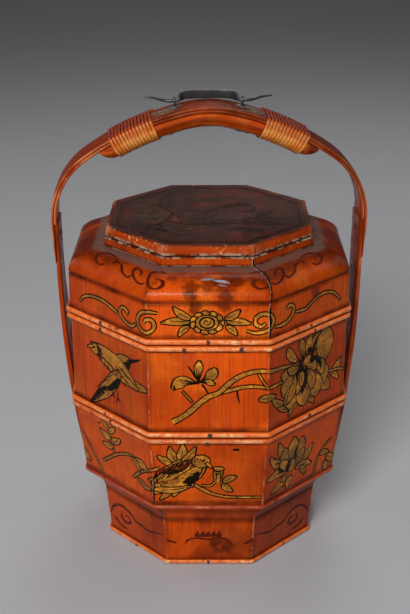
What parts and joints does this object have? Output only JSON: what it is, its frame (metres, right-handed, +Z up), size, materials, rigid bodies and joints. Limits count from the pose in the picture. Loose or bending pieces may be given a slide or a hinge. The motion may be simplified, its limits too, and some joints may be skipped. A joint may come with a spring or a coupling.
{
  "type": "tiered food basket",
  "caption": "Eight-sided lacquered food basket: a footed lower tier, a middle tier, a domed lid and a cap that lift off inside a bent bamboo handle with an iron bail.",
  "frame": {"origin": "centre of the foot's underside", "axes": "+Z up, front facet towards -Y, the uprights on the +X and -X facets"},
  "size_m": [0.342, 0.3056, 0.5055],
  "materials": {
    "lacquer": "orange-red lacquer over wood boards",
    "red_bead": "red lacquered split bamboo",
    "bamboo_bead": "amber varnished split bamboo",
    "bare_board": "dull red-brown board",
    "dark_top": "dark brown worn lacquer",
    "bamboo": "red-brown lacquered bamboo strip",
    "rattan": "varnished rattan cane",
    "iron": "dark forged iron"
  },
  "bodies": {
    "base": {"foot_ring": "lacquer", "foot_bead": "bamboo_bead", "foot_cove": "lacquer", "lower_wall_1": "lacquer", "lower_wall_2": "lacquer", "lower_wall_3": "lacquer", "lower_wall_4": "lacquer", "lower_wall_5": "lacquer", "lower_wall_6": "lacquer", "lower_wall_7": "lacquer", "lower_wall_8": "lacquer", "lower_floor": "bare_board", "lower_bottom_bead": "red_bead", "lower_rim_bead": "bamboo_bead", "lower_nesting_ring": "bare_board", "upright_left": "bamboo", "wall_rivet_left_1": "iron", "wall_rivet_left_2": "iron", "upright_right": "bamboo", "wall_rivet_right_1": "iron", "wall_rivet_right_2": "iron", "arch_outer_strip": "bamboo", "arch_inner_strip": "bamboo", "grip": "bamboo", "rattan_winding_left": "rattan", "split_pin_left": "iron", "pin_plate_left": "iron", "lap_rivet_left": "iron", "rattan_winding_right": "rattan", "split_pin_right": "iron", "pin_plate_right": "iron", "lap_rivet_right": "iron"},
    "middle_tier": {"middle_wall_1": "lacquer", "middle_wall_2": "lacquer", "middle_wall_3": "lacquer", "middle_wall_4": "lacquer", "middle_wall_5": "lacquer", "middle_wall_6": "lacquer", "middle_wall_7": "lacquer", "middle_wall_8": "lacquer", "middle_floor": "bare_board", "middle_bottom_bead": "bamboo_bead", "middle_rim_bead": "bamboo_bead", "middle_nesting_ring": "bare_board"},
    "lid": {"lid_band_1": "lacquer", "lid_band_2": "lacquer", "lid_band_3": "lacquer", "lid_band_4": "lacquer", "lid_band_5": "lacquer", "lid_band_6": "lacquer", "lid_band_7": "lacquer", "lid_band_8": "lacquer", "lid_bead": "bamboo_bead", "lid_shoulder": "lacquer", "lid_collar": "lacquer", "lid_tray_board": "bare_board"},
    "cap": {"cap_frame": "dark_top", "cap_board": "dark_top", "cap_lip": "bare_board"},
    "bail": {"bail": "iron"}
  },
  "joints": [
    {"name": "middle_tier_lift", "type": "slide", "parent": "base", "child": "middle_tier", "axis": [0, 0, 1], "range_m": [0, 0.02]},
    {"name": "lid_lift", "type": "slide", "parent": "middle_tier", "child": "lid", "axis": [0, 0, 1], "range_m": [0, 0.016]},
    {"name": "cap_lift", "type": "slide", "parent": "lid", "child": "cap", "axis": [0, 0, 1], "range_m": [0, 0.014]},
    {"name": "bail_swing", "type": "hinge", "parent": "base", "child": "bail", "pos_m": [0, 0, 0.4978], "axis": [0.9982, 0.0593, 0], "range_deg": [0, 162]}
  ]
}
